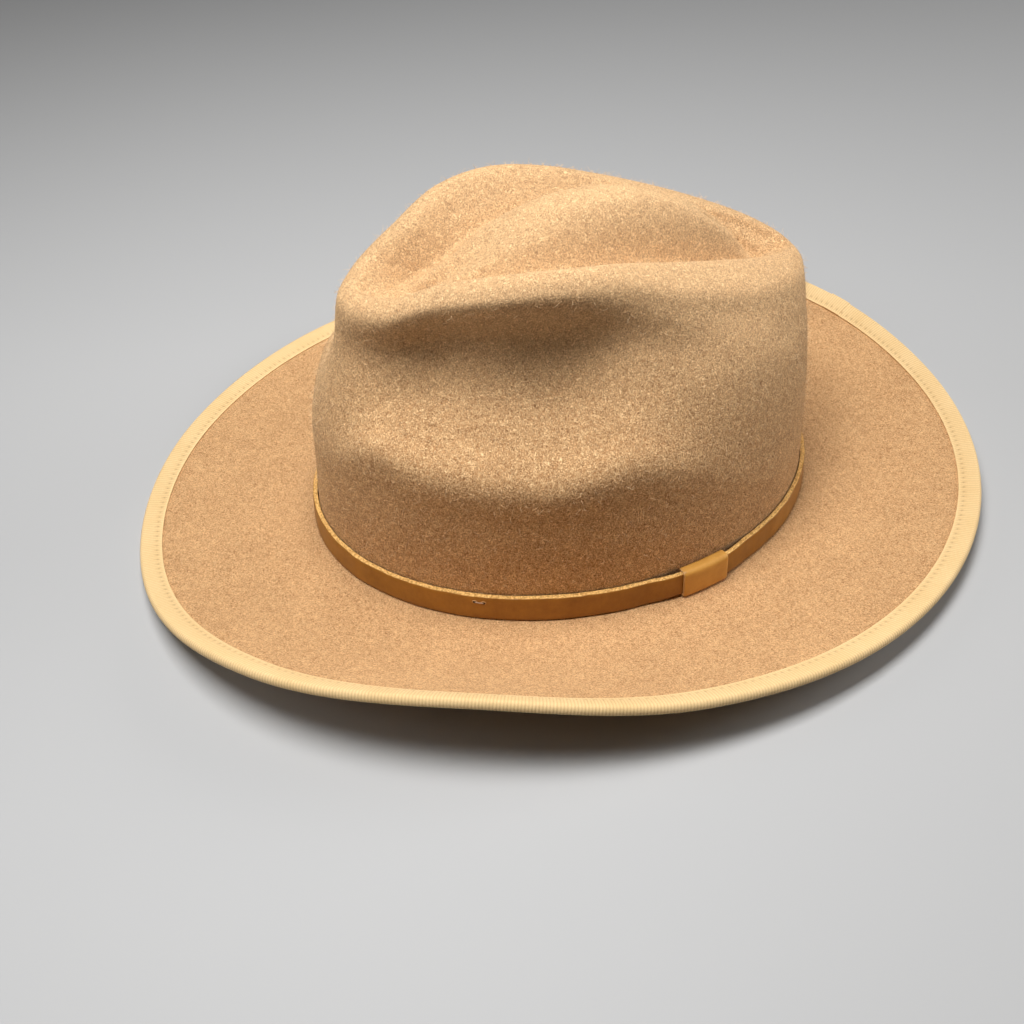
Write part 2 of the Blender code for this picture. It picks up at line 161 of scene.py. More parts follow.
TACK_ARCH = 0.00018         # how far it bows out from the strap
HOLE_SECTION = (            # radius and rise over the strap's face, from the lip's foot to the bottom
    (0.00090, -0.00008), (0.00076, 0.00006), (0.00062, 0.00013), (0.00051, 0.00008),
    (0.00045, 0.00003), (0.00002, 0.00003),
)
HOLE_SHADE_RADIUS = 0.00052         # radius within which the hole is painted near black, as painted shade inside it

# Nap of the felt
NAP_COUNT = 9500
NAP_LENGTH = 0.0019
NAP_THICK = 0.00012
NAP_FROM = 0.0150           # height above the table where it starts, just over the strap
NAP_LEAN = 0.8              # sideways reach of a fibre, as a share of its length
NAP_RISE = (0.30, 0.55)     # least rise of a fibre and what chance adds, as shares of its length

# Fineness
FELT_AROUND = 420
CROWN_STEPS = 8
BRIM_ROWS = 30
STRAP_AROUND = 900

# Camera, fitted to the photo
CAMERA_PLACE = (0.33491, -0.12507, 0.31246)
CAMERA_AIM = (0.01335, -0.02676, -0.00257)
CAMERA_ROLL = -1.556
CAMERA_LENS = 39.09

# Lights: name, place, width, depth and power. All point at the middle of the floor.
LIGHTS = (
    ("back_light", (0.15, 1.25, 0.52), 0.6, 0.6, 8.5),
    ("side_light", (-0.25, -1.20, 0.60), 0.6, 0.6, 3.2),
    ("top_light", (0.03, -0.11, 0.74), 0.24, 0.50, 8.0),
)
FLOOR_HALF = 4.0


# Shape of the felt

def table(rows, columns):
    """Give each column of a table its name."""
    return dict(zip(columns, np.array(rows).T))


CROWN = table(CROWN_ROWS, CROWN_COLUMNS)
EDGE = table(EDGE_ROWS, EDGE_COLUMNS)


def cubic(before, here, after, beyond, share):
    """Cubic from here to after, with the slopes of its neighbours' chords."""
    slope_in = (after - before) / 2.0
    slope_out = (beyond - here) / 2.0
    rise = after - here
    return (here + slope_in * share + (3.0 * rise - 2.0 * slope_in - slope_out) * share ** 2
            + (slope_in + slope_out - 2.0 * rise) * share ** 3)


def smooth_step(low, high, value):
    """0 below low, 1 above high, and 3 x^2 - 2 x^3 between them."""
    share = np.clip((value - low) / (high - low), 0.0, 1.0)
    return share ** 2 * (3.0 - 2.0 * share)


def around(column, turn):
    """Read a column given at equal turns of the whole circle, by a smooth cubic through its values."""
    count = len(column)
    place = turn / (2.0 * np.pi) * count
    low = np.floor(place).astype(int)
    before, here, after, beyond = (column[(low + step) % count] for step in (-1, 0, 1, 2))
    return cubic(before, here, after, beyond, place - low)


def mirrored(name, turn):
    """Read a crown column, whose half circle is mirrored to make the whole."""
    half = CROWN[name]
    return around(np.concatenate((half, half[-2:0:-1])), turn)


def refine(rows, beyond, steps):
    """Put steps - 1 new rows between each two rows, on a smooth cubic through them all and one beyond."""
    padded = np.concatenate((2.0 * rows[:1] - rows[1:2], rows, beyond[None]))
    share = np.arange(steps)[:, None, None, None] / steps
    fine = cubic(padded[None, :-3], padded[None, 1:-2], padded[None, 2:-1], padded[None, 3:], share)
    fine = fine.swapaxes(0, 1).reshape(-1, *rows.shape[1:])
    return np.concatenate((fine, rows[-1:]))


def at_height(plan, height):
    """Join plan positions (..., 2) and heights into points (..., 3)."""
    height = np.broadcast_to(height, plan.shape[:-1])
    return np.concatenate((plan, height[..., None]), axis=-1)


def base_oval(turn):
    """Outside of the crown at its base: x = a sin t (1 - b cos t), y = -c cos t."""
    along = -np.cos(turn)
    across = np.sin(turn) * (1.0 + BACK_FULLNESS_SHARE * along)
    return np.stack((across * CROWN_WIDTH / 2.0, along * CROWN_LENGTH / 2.0), axis=-1)


def oval_tangent(turn):
    """Rate at which the base oval's points move in plan as the turn grows."""
    across = np.cos(turn) - BACK_FULLNESS_SHARE * np.cos(2.0 * turn)
    return np.stack((across * CROWN_WIDTH / 2.0, np.sin(turn) * CROWN_LENGTH / 2.0), axis=-1)


def unit(vectors):
    """Vectors (..., n) at length 1."""
    return vectors / np.linalg.norm(vectors, axis=-1, keepdims=True)


def oval_outward(turn):
    """Outward direction of the base oval in plan: its tangent turned by a right angle."""
    tangent = oval_tangent(turn)
    return unit(np.stack((tangent[..., 1], -tangent[..., 0]), axis=-1))


def ring_between(turn, set_front, set_back, half_width):
    """Ring on the crown's top between two points of its middle line, set in from its front and back."""
    front = -CROWN_LENGTH / 2.0 + set_front
    back = CROWN_LENGTH / 2.0 - set_back
    along = (front + back) / 2.0 - np.cos(turn) * (back - front) / 2.0
    return np.stack((np.sign(np.sin(turn)) * half_width, along), axis=-1)


def wall_plan(turn, height):
    """Straight lower wall of the crown: the base oval moved in by the lean times the height."""
    return base_oval(turn) - oval_outward(turn) * (WALL_LEAN_SHARE * (height - FELT))[..., None]


def crown_rows(turn):
    """Rings of the crown's outside from its base up over the ridge and gutter to the mound's crest."""
    base = base_oval(turn)
    ridge = ring_between(turn, RIDGE_SET_FRONT, RIDGE_SET_BACK,
                         mirrored("ridge_out", turn) * CROWN_WIDTH / 2.0)
    ridge_up = mirrored("ridge_up", turn) * CROWN_HEIGHT
    apart = np.linalg.norm(ridge - base, axis=1)
    inward = (ridge - base) / apart[:, None]
    lip_up = mirrored("lip_up", turn) * ridge_up
    lip_in = WALL_LEAN_SHARE * (lip_up - FELT)
    hollow_up = mirrored("hollow_up", turn) * ridge_up
    hollow_in = mirrored("hollow_in", turn) * apart
    shelf_up = lip_up + mirrored("shelf_up", turn) * (hollow_up - lip_up)
    out = mirrored("roll_out", turn) * ROLL
    down = mirrored("roll_down", turn) * ROLL
    rows = []
    for share in WALL_SHARES:
        height = FELT + share * (lip_up - FELT)
        rows.append(at_height(wall_plan(turn, height), height))
    for distance, height in (
        ((lip_in + hollow_in) / 2.0, shelf_up),
        (hollow_in, hollow_up),
        (mirrored("under_in", turn) * apart, (hollow_up + ridge_up - down) / 2.0),
        (apart - out, ridge_up - down),
        (apart - out * DIAGONAL, ridge_up - down * (1.0 - DIAGONAL)),
        (apart, ridge_up),
    ):
        rows.append(at_height(base + inward * distance[:, None], height))
    crest = ring_between(turn, MOUND_SET_FRONT, MOUND_SET_BACK, MOUND_CREST * np.abs(np.sin(turn)))
    crest_up = mirrored("crest_up", turn) * CROWN_HEIGHT
    inside = ROLL_INSIDE * DIAGONAL / np.linalg.norm(crest - ridge, axis=1)
    gutter_in = mirrored("gutter_in", turn)
    floor = ridge_up - mirrored("gutter_down", turn) * GUTTER_DEPTH
    flank_in = gutter_in + (1.0 - gutter_in) * FLANK_SHARE
    for share, height in (
        (inside, ridge_up - ROLL_INSIDE * (1.0 - DIAGONAL)),
        (gutter_in * SLOPE_SHARE, ridge_up + (floor - ridge_up) * SLOPE_DROP_SHARE),
        (gutter_in, floor),
        (flank_in, floor + (crest_up - floor) * FLANK_RISE_SHARE),
        (np.ones_like(gutter_in), crest_up),
    ):
        rows.append(at_height(ridge + share[:, None] * (crest - ridge), height))
    return refine(np.array(rows), rows[-2] * (-1.0, 1.0, 1.0), CROWN_STEPS)


def edge_height(turn):
    """Height of the felt's upper face at the brim's edge."""
    return FELT / 2.0 + around(EDGE["up"], turn) * BRIM_CURL


def felt_reach(turn):
    """Level distance from the crown's wall to the felt's edge, from the brim's width and its rise."""
    ends = np.where(np.cos(turn) > 0.0, BRIM_FRONT, BRIM_BACK)
    width = ends + (BRIM_SIDE - ends) * np.sin(turn) ** 2 - RIBBON - FIT_GAP
    rise = edge_height(turn) - FELT
    return np.sqrt(width ** 2 - rise ** 2)


def brim_row(turn, reach):
    """Ring of the brim's upper face at a level distance from the crown's wall: flat, then turning up."""
    share = np.clip((reach - BREAK_WIDTH) / (felt_reach(turn) - BREAK_WIDTH), 0.0, None)
    height = FELT + (edge_height(turn) - FELT) * share ** CURL_POWER
    reach = np.broadcast_to(reach, turn.shape)[..., None]
    return at_height(base_oval(turn) + oval_outward(turn) * reach, height)


def turns(count):
    """Equal turns of the whole circle."""
    return np.arange(count) * 2.0 * np.pi / count


def hat_middle():
    """Middle of the hat's outline in plan, which the part puts on the Z axis."""
    turn = turns(64)
    edge = brim_row(turn, felt_reach(turn))[:, :2]
    return (edge.min(axis=0) + edge.max(axis=0)) / 2.0


MIDDLE = hat_middle()


# Meshes

def grid_faces(rows, columns, start=0, closed=True):
    """Quads of a grid of points in rows, numbered from start; closed joins the last column to the first."""
    row = np.arange(rows - 1)[:, None] * columns
    column = np.arange(columns if closed else columns - 1)[None]
    after = (column + 1) % columns
    corners = (row + column, row + after, row + columns + after, row + columns + column)
    return start + np.stack(corners, axis=-1).reshape(-1, 4)


def make_piece(name, node, points, faces, finish, marks=()):
    """Make a mesh object at the origin from points (n, 3) in the part's own place and lists of faces."""
    mesh = bpy.data.meshes.new(name)
    points = points.reshape(-1, 3) - np.append(MIDDLE, 0.0)
    mesh.from_pydata(points.tolist(), [], [face for group in faces for face in group.tolist()])
    for mark, values in marks:
        layer = mesh.attributes.new(mark, "FLOAT", "POINT")
        layer.data.foreach_set("value", np.ascontiguousarray(values, dtype=np.float32).ravel())
    mesh.materials.append(finish)
    mesh.shade_smooth()
    piece = bpy.data.objects.new(name, mesh)
    bpy.context.scene.collection.objects.link(piece)
    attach(piece, "root")
    if node:
        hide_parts(node)
    return piece


def grid_normals(points):
    """Upward normals of a grid closed along its second axis, from the cross product of its differences."""
    along = np.roll(points, -1, axis=1) - np.roll(points, 1, axis=1)
    across = np.gradient(points, axis=0)
    return unit(np.cross(along, across))


def blur(values, axis, times, closed):
    """Average each value with its neighbours, by quarter, half and quarter, a number of times."""
    for _ in range(times):
        if closed:
            values = (np.roll(values, 1, axis) + 2.0 * values + np.roll(values, -1, axis)) / 4.0
        else:
            padded = np.concatenate((values[:1], values, values[-1:]))
            values = (padded[:-2] + 2.0 * padded[1:-1] + padded[2:]) / 4.0
    return values


def felt_rows(turn):
    """Rings of the felt's upper face from the brim's edge in, round the break and up over the crown."""
    whole = felt_reach(turn)
    steps = np.linspace(0.0, 1.0, BRIM_ROWS)
    brim = [brim_row(turn, whole + (BREAK_WIDTH - whole) * step) for step in steps]
    flat = [brim_row(turn, np.full(turn.shape, reach)) for reach in FLAT_REACHES]
    rounding = []
    for angle in np.linspace(0.0, np.pi / 2.0, 6):
        height = np.full(turn.shape, FELT + BREAK_FILLET * (1.0 - np.cos(angle)))
        out = BREAK_FILLET * (1.0 - np.sin(angle))
        rounding.append(at_height(wall_plan(turn, height) + oval_outward(turn) * out, height))
    return np.concatenate((np.array(brim + flat + rounding), crown_rows(turn)[1:]))


def make_felt(finish):
    """Crown and brim: an upper sheet, and a lower one set off by the felt's thickness along its normals."""
    turn = turns(FELT_AROUND)
    top = felt_rows(turn)
    run_in = np.linalg.norm(top - top[:1], axis=-1)
    thinning = (FELT - FELT_EDGE) / 2.0 * (1.0 - smooth_step(*THIN_RUN, run_in))
    calm = blur(blur(top, 0, 4, False), 1, 3, True)
    bottom = calm - grid_normals(calm) * (FELT - thinning)[..., None]
    bottom[:BRIM_ROWS] = (top - grid_normals(top) * (FELT - thinning)[..., None])[:BRIM_ROWS]
    top = top - grid_normals(top) * thinning[..., None]
    under = bottom[::UNDER_SKIP]
    rows, columns = top.shape[:2]
    half = columns // 2
    line_of = np.minimum(np.arange(columns), (columns - np.arange(columns)) % columns)
    long_nap = np.zeros((rows, columns))
    long_nap[BRIM_ROWS + 6:] = 1.0
    long_nap = blur(long_nap, 0, 12, False)
    pieces, marks, faces, start = [], [], [], 0
    sheets = ((top, long_nap, MOUND_CREST * CREST_LIFT, False), (under, long_nap[::UNDER_SKIP], 0.0, True))
    for sheet, nap, lift, flip in sheets:
        last = sheet[-1]
        line = last[:half + 1] * (0.0, 1.0, 1.0)
        ease = np.sin(np.linspace(0.0, np.pi, half + 1))
        line[:, 2] += lift * ease
        centre = line[:, 1].mean()
        line[:, 1] = centre + (line[:, 1] - centre) * CREST_SHRINK
        count = len(sheet)
        quads = grid_faces(count, columns, start)
        ring = start + (count - 1) * columns + np.arange(columns)
        middle = start + count * columns + line_of
        cap = np.stack((ring, np.roll(ring, -1), np.roll(middle, -1), middle), axis=-1)
        group = np.concatenate((quads, cap))
        faces.append(group[:, ::-1] if flip else group)
        pieces += [sheet.reshape(-1, 3), line]
        marks += [nap.ravel(), np.ones(half + 1)]
        start += count * columns + half + 1
    second = rows * columns + half + 1
    column = np.arange(columns)
    after = (column + 1) % columns
    faces.append(np.stack((second + column, second + after, after, column), axis=-1))
    return make_piece("felt", "felt_body", np.concatenate(pieces), faces, finish,
                      (("nap", np.concatenate(marks)),))


def make_nap(finish):
    """Nap of the crown: fibres spread evenly by area, rising along the normal while a sideways lean grows.

    A fibre's centre is root + length (a s n + b s^1.5 l), with s from 0 to 1, n the felt's normal and l a
    random direction along the felt.
    """
    chance = np.random.default_rng(29)
    points = felt_rows(turns(FELT_AROUND))[BRIM_ROWS + 9:]
    normals = grid_normals(points)
    along = np.roll(points, -1, axis=1) - points
    across = points[1:] - points[:-1]
    area = np.linalg.norm(np.cross(along[:-1], across), axis=-1) * (points[:-1, :, 2] > NAP_FROM)
    cell = chance.choice(area.size, NAP_COUNT, p=area.ravel() / area.sum())
    row, column = np.divmod(cell, area.shape[1])
    place = chance.random((2, NAP_COUNT, 1))
    root = points[row, column] + along[row, column] * place[0] + across[row, column] * place[1]
    normal = normals[row, column]
    lean = chance.normal(size=(NAP_COUNT, 3))
    lean = unit(lean - normal * (lean * normal).sum(axis=1, keepdims=True))
    length = NAP_LENGTH * (0.5 + chance.random((NAP_COUNT, 1, 1)))
    rise = NAP_RISE[0] + NAP_RISE[1] * chance.random((NAP_COUNT, 1, 1))
    share = np.linspace(0.0, 1.0, 4)[None, :, None]
    reach = rise * share * normal[:, None] + NAP_LEAN * share ** 1.5 * lean[:, None]
    centre = root[:, None] + length * reach
    heading = unit(np.gradient(centre, axis=1))
    side = np.broadcast_to(unit(np.cross(normal, lean))[:, None], centre.shape)
    radius = np.broadcast_to(NAP_THICK / 2.0 * (1.0 - 0.6 * share[..., 0]), centre.shape[:2])
    bars, faces, caps = thread_mesh(centre, side, np.cross(heading, side), radius, 3)
    return make_piece("nap", None, bars, [faces, caps], finish)


# Ribbon

class EdgePath:
    """The brim's edge as a path by its length, with its inward and normal directions."""

    def __init__(self):
        turn = np.linspace(0.0, 2.0 * np.pi, 2881)
        whole = felt_reach(turn)
        self.edge = brim_row(turn, whole)
        inward = unit(brim_row(turn, whole - RIBBON_TOP) - self.edge)
        tangent = unit(np.gradient(self.edge, axis=0))
        tangent[0] = tangent[-1] = unit(self.edge[1] - self.edge[-2])
        normal = unit(np.cross(tangent, inward))
        self.columns = np.concatenate((self.edge - normal * FELT / 2.0, inward, normal), axis=1)
        steps = np.linalg.norm(np.diff(self.edge, axis=0), axis=1)
        self.turn = turn
        self.run = np.concatenate(((0.0,), np.cumsum(steps)))
        self.length = self.run[-1]

    def at(self, run):
        """Centre of the felt's edge and the two directions at lengths along the path."""
        run = np.asarray(run) % self.length
        found = np.stack([np.interp(run, self.run, column) for column in self.columns.T], axis=-1)
        return found[..., 0:3], found[..., 3:6], found[..., 6:9]

    def run_at(self, degrees):
        """Length along the path at a turn."""
        return np.interp(np.radians(degrees), self.turn, self.run)


def ribbon_section():
    """Outer half of the ribbon's section from its upper selvage round the fold to its lower one.

    Columns: run in from the felt's edge, rise over the felt's middle, and share of the ribs' height.
    """
    outside = FELT_EDGE / 2.0 + FIT_GAP + RIBBON
    rows = []
    for share in TOP_SHARES:
        thin = RIBBON_THIN * smooth_step(THIN_FROM, 1.0, share)
        rows.append((RIBBON_TOP * share, outside - thin, 1.0 - smooth_step(RIBS_TO, 1.0, share)))
    for angle in np.linspace(0.0, np.pi, FOLD_ROWS):
        rows.append((-(FIT_GAP + RIBBON) * np.sin(angle), outside * np.cos(angle), 1.0))
    for share in UNDER_SHARES:
        thin = RIBBON_THIN * smooth_step(THIN_FROM, 1.0, share)
        rows.append((RIBBON_UNDER * share, -outside + thin, 1.0 - smooth_step(RIBS_TO, 1.0, share)))
    return np.array(rows)


def make_ribbon(path, finish):
    """Folded ribbon: its section carried along the edge, with ribs across it and a pucker at each stitch."""
    ribs = int(round(path.length / RIB_PITCH))
    count = ribs * RIB_STEPS
    run = np.arange(count) * path.length / count
    centre, inward, normal = path.at(run)
    section = ribbon_section()
    out = np.gradient(section[:, :2], axis=0)
    out = unit(np.stack((-out[:, 1], out[:, 0]), axis=-1))
    rib = np.abs(np.sin(np.pi * np.arange(count) / RIB_STEPS)) - RIB_LEVEL
    ahead = run - path.run_at(360.0 - LAP_TURN)
    lap = smooth_step(0.0, LAP_STEP, ahead) * (1.0 - smooth_step(LAP_LENGTH, LAP_LENGTH + LAP_STEP, ahead))
    stitches = int(round(path.length / STITCH_PITCH))
    beat = (run / path.length * stitches + 0.5) % 1.0 - 0.5
    near_hole = np.exp(-(beat * path.length / stitches / HOLE_LENGTH) ** 2)
    across = np.exp(-((section[:, 0] - RIBBON_TOP + STITCH_SET) / PUCKER_WIDTH) ** 2) * (section[:, 1] > 0.0)
    pull = across[:, None] * (PUCKER_BETWEEN + (1.0 - PUCKER_BETWEEN) * near_hole[None])
    grow = section[:, 2:3] * RIB_HEIGHT * rib[None] + LAP_HEIGHT * lap[None] - PUCKER * pull
    run_in = section[:, 0:1] - out[:, 0:1] * grow
    rise = section[:, 1:2] - out[:, 1:2] * grow
    outer = centre[None] + inward[None] * run_in[..., None] + normal[None] * rise[..., None]
    inside = FELT_EDGE / 2.0 + FIT_GAP
    inner = [centre + inward * run_back + normal * rise_back for run_back, rise_back in (
        (RIBBON_UNDER, -inside), (-FIT_GAP, -inside), (-FIT_GAP, inside), (RIBBON_TOP, inside))]
    loop = np.concatenate((outer, np.array(inner), outer[:1]))[:-1]
    rows = len(loop)
    faces = grid_faces(rows, count)
    last = (rows - 1) * count
    column = np.arange(count)
    after = (column + 1) % count
    closing = np.stack((last + column, last + after, after, column), axis=-1)
    # Painted shade mask: round each needle hole on the stitch line, where the thread pulls the ribbon in.
    holes = np.zeros((rows, count))
    holes[:len(outer)] = across[:, None] * near_hole[None]
    # Painted shade mask: highest in the furrows between the ribs, where shade would fall.
    furrow_shade = np.zeros((rows, count))
    furrow_shade[:len(outer)] = section[:, 2:3] * (RIB_LEVEL - rib[None])
    return make_piece("ribbon", "brim_binding", loop, [faces, closing], finish,
                      (("hole", holes), ("furrow", furrow_shade)))


def thread_mesh(centres, side, lift, radius, corners=6):
    """Threads (n, steps, 3) as bars: a ring of corners of radius (n, steps) in the plane of side and lift."""
    angle = turns(corners)
    spread = radius[..., None, None]
    ring = side[..., None, :] * np.cos(angle)[:, None] + lift[..., None, :] * np.sin(angle)[:, None]
    points = centres[..., None, :] + ring * spread
    count, steps = centres.shape[:2]
    body = grid_faces(steps, corners)
    starts = np.arange(count)[:, None, None] * steps * corners
    faces = (starts + body[None]).reshape(-1, 4)
    first = starts[:, :, 0] + np.arange(corners)[None, ::-1]
    last = starts[:, :, 0] + (steps - 1) * corners + np.arange(corners)[None]
    return points, faces, np.concatenate((first, last))


def make_stitches(path, finish):
    """Row of stitches along the ribbon: each a short bar that rises from one hole and dips into the next."""
    count = int(round(path.length / STITCH_PITCH))
    share = np.linspace(-0.5, 0.5, 7)
    run = (np.arange(count)[:, None] + 0.5) * path.length / count + share[None] * STITCH_LENGTH
    centre, inward, normal = path.at(run)
    outside = FELT_EDGE / 2.0 + FIT_GAP + RIBBON - RIBBON_THIN
    arch = outside - STITCH_SINK + STITCH_ARCH * np.cos(share * np.pi)
    place = centre + inward * (RIBBON_TOP - STITCH_SET) + normal * arch[None, :, None]
    radius = np.broadcast_to(THREAD / 2.0 * (0.55 + 0.45 * np.cos(share * np.pi)), run.shape)
    points, faces, caps = thread_mesh(place, inward, normal, radius)
    return make_piece("ribbon_stitches", None, points, [faces, caps], finish)


# Leather

def ripple(count, seed, times):
    """Even noise round a ring of a count of points, with a spread of 1, blurred a number of times."""
    values = blur(np.random.default_rng(seed).normal(size=count), 0, times, True)
    return values / values.std()


def from_sleeve(turn):
    """Distance in plan from the sleeve's middle."""
    middle = base_oval(np.radians(np.array(SLEEVE_TURN)))
    return np.linalg.norm(base_oval(turn) - middle, axis=-1)


def strap_stand(turn):
    """Distance from the felt to the strap's back: a small gap, more where the sleeve passes behind."""
    share = smooth_step(0.0, SWELL_LENGTH, from_sleeve(turn) - SLEEVE_LENGTH / 2.0)
    return FIT_GAP + (SLEEVE + FIT_GAP) * (1.0 - share)


def strap_face(turn):
    """Distance from the felt to the strap's face, which is slightly uneven."""
    uneven = FACE_WAVER * ripple(STRAP_AROUND, 5, 30)
    return strap_stand(turn) + STRAP + np.interp(turn, turns(STRAP_AROUND), uneven)


def strap_low(turn):
    """Height of the strap's lower edge: over the sleeve's turned-under side, lower away from it."""
    low = FELT + FIT_GAP + SLEEVE + FIT_GAP
    return low - STRAP_DROP * smooth_step(0.0, SWELL_LENGTH, from_sleeve(turn) - SLEEVE_LENGTH / 2.0)


def beside_wall(turn, height, stand):
    """Points at a height, standing off the felt's lower wall by a distance."""
    height = np.broadcast_to(height, turn.shape)
    plan = wall_plan(turn, height) + oval_outward(turn) * np.broadcast_to(stand, turn.shape)[..., None]
    return at_height(plan, height)


def rounded_box(low, high, back, face, corner, along):
    """A section's corners rounded by quarter circles.

    Gives the heights, the distances out from the felt, and 1 on the upper and lower edge.
    """
    rows = []
    quarter = np.linspace(0.0, np.pi / 2.0, 4)
    for middle_up, middle_out, start in (
        ((1.0, -corner), (1.0, -corner), 0.0), ((1.0, -corner), (0.0, corner), np.pi / 2.0),
        ((0.0, corner), (0.0, corner), np.pi), ((0.0, corner), (1.0, -corner), 1.5 * np.pi),
    ):
        for angle in quarter + start:
            up = middle_up[0], middle_up[1] + corner * np.sin(angle)
            out = middle_out[0], middle_out[1] + corner * np.cos(angle)
            raw = abs(np.sin(angle)) ** 4
            rows.append((up, out, raw))
    dense = []
    for index, (up, out, raw) in enumerate(rows):
        dense.append((up, out, raw))
        if index % 4 == 3:
            up_next, out_next, _ = rows[(index + 1) % len(rows)]
            for share in np.linspace(0.0, 1.0, along + 2)[1:-1]:
                dense.append((tuple(np.array(up) + share * (np.array(up_next) - np.array(up))),
                              tuple(np.array(out) + share * (np.array(out_next) - np.array(out))),
                              raw))
    heights = np.array([low + up[0] * (high - low) + up[1] for up, out, raw in dense])
    stands = np.array([back + out[0] * (face - back) + out[1] for up, out, raw in dense])
    return heights, stands, np.array([raw for up, out, raw in dense])


def make_strap(finish):
    """Leather strap: a rounded rectangle carried round the crown, with a slightly ragged raw edge."""
    turn = turns(STRAP_AROUND)
    low = strap_low(turn)
    high = FELT + FIT_GAP + SLEEVE + FIT_GAP + STRAP_HEIGHT + EDGE_WAVER * ripple(STRAP_AROUND, 3, 12)
    back = strap_stand(turn)
    face = strap_face(turn)
    heights, stands, raw = rounded_box(low, high, back, face, STRAP_CORNER, 5)
    rag = np.stack([ripple(STRAP_AROUND, 11 + row, 1) for row in range(len(raw))])
    heights = heights + raw[:, None] * rag * RAW_RAG
    points = np.stack([beside_wall(turn, height, stand) for height, stand in zip(heights, stands)])
    rows = len(points)
    faces = grid_faces(rows, STRAP_AROUND)[:, ::-1]
    column = np.arange(STRAP_AROUND)
    after = (column + 1) % STRAP_AROUND
    last = (rows - 1) * STRAP_AROUND
    closing = np.stack((column, after, last + after, last + column), axis=-1)
    marks = np.broadcast_to(raw[:, None], points.shape[:2])
    return make_piece("strap", "leather_band", points, [faces, closing], finish,
                      (("raw", marks),))


def make_sleeve(finish):
    """Leather sleeve: a rounded loop round the strap, carried a short way along it, its ends rounded over."""
    middle = np.radians(SLEEVE_TURN)
    half = SLEEVE_LENGTH / 2.0 / np.linalg.norm(oval_tangent(np.array(middle)))
    inset = np.array((0.0, 0.012, 0.04, 0.09, 0.18, 0.32, 0.5))
    share = np.concatenate((inset, 1.0 - inset[-2::-1]))
    turn = middle + (2.0 * share - 1.0) * half
    low = FELT + FIT_GAP
    high = low + 2.0 * (SLEEVE + FIT_GAP) + STRAP_HEIGHT
    back = FIT_GAP
    face = back + 2.0 * (SLEEVE + FIT_GAP) + STRAP
    over = np.sqrt(1.0 - np.clip(1.0 - share / SLEEVE_END, 0.0, 1.0) ** 2)
    over = np.minimum(over, over[::-1])
    shrink = SLEEVE_ROUND * (1.0 - over)
    bulge = SLEEVE_SWELL * np.sin(np.pi * share) ** 0.6
    grids, marks = [], []
    for inner, thick in ((False, 0.0), (True, SLEEVE)):
        sink = np.broadcast_to(thick if inner else shrink, turn.shape)
        heights, stands, _ = rounded_box(low + sink, high - sink, back + sink, face - sink,
                                         SLEEVE_CORNER - thick, 6)
        if not inner:
            up = (heights - low) / (high - low)
            front = smooth_step(0.5, 1.0, (stands - back) / (face - back))
            stands = stands + bulge[None] * front * np.sin(np.pi * np.clip(up, 0.0, 1.0)) ** 0.7
        grids.append(np.stack([beside_wall(turn, height, stand) for height, stand in zip(heights, stands)]))
        marks.append(np.zeros(grids[-1].shape[:2]) + (1.0 if inner else (1.0 - over)[None]))
    rows, columns = grids[0].shape[:2]
    outer = grid_faces(rows + 1, columns, closed=False) % (rows * columns)
    inner = outer[:, ::-1] + rows * columns
    ring = np.arange(rows) * columns
    after = np.roll(ring, -1)
    ends = []
    for offset, flip in ((0, True), (columns - 1, False)):
        end = np.stack((ring + offset, after + offset, rows * columns + after + offset,
                        rows * columns + ring + offset), axis=-1)
        ends.append(end[:, ::-1] if flip else end)
    faces = [outer[:, ::-1], inner[:, ::-1], *[end[:, ::-1] for end in ends]]
    return make_piece("sleeve", "band_keeper", np.concatenate(grids), faces, finish,
                      (("cut", np.concatenate(marks)),))


def make_tack(hole_finish, thread_finish):
    """Tack on the strap: two punched holes, each a turned ring with a raised lip, and a thread between."""
    middle = np.radians(TACK_TURN)
    step = TACK_SPACING / 2.0 / np.linalg.norm(oval_tangent(np.array(middle)))
    top = FELT + FIT_GAP + SLEEVE + FIT_GAP + STRAP_HEIGHT
    height = top - TACK_DROP
    lathe = np.array(HOLE_SECTION)
    angle = turns(16)
    holes, hole_shades = [], []
    for side in (-1.0, 1.0):
        turn = np.array(middle + side * step)
        place = beside_wall(turn, height - TACK_SLANT * side, strap_face(turn) + 0.00003)
        out = np.append(oval_outward(turn), 0.0)
        along = np.append(unit(oval_tangent(turn)), 0.0)
        ring = along * np.cos(angle)[:, None] * 1.15 + np.array((0.0, 0.0, 1.0)) * np.sin(angle)[:, None]
        holes.append(place + ring[None] * lathe[:, 0, None, None] + out * lathe[:, 1, None, None])
        # Painted shade mask: 1 on the rings inside the hole's shaded radius.
        hole_shades.append(np.broadcast_to(lathe[:, 0:1] < HOLE_SHADE_RADIUS, (len(lathe), len(angle))))
    body = grid_faces(len(lathe), len(angle))
    size = len(lathe) * len(angle)
    floor = (size - len(angle)) + np.arange(len(angle))[None]
    back = np.arange(len(angle))[None, ::-1]
    faces = [np.concatenate((body, size + body)), np.concatenate((floor, size + floor, back, size + back))]
    make_piece("tack_holes", None, np.array(holes), faces, hole_finish,
               (("deep", np.array(hole_shades, dtype=float)),))
    share = np.linspace(-1.0, 1.0, 13)
    turn = middle + step * share * 0.98
    lift = TACK_ARCH * np.sqrt(np.clip(1.0 - share ** 2, 0.0, 1.0)) + 0.00002
    place = beside_wall(turn, height - TACK_SLANT * share, strap_face(turn) + lift)
    out = at_height(oval_outward(turn), 0.0)
    upward = np.broadcast_to(np.array((0.0, 0.0, 1.0)), out.shape)
    radius = np.full((1, len(share)), TACK_THREAD)
    points, faces, caps = thread_mesh(place[None], upward[None], out[None], radius)
    make_piece("tack_thread", None, points, [faces, caps], thread_finish)


# Finishes

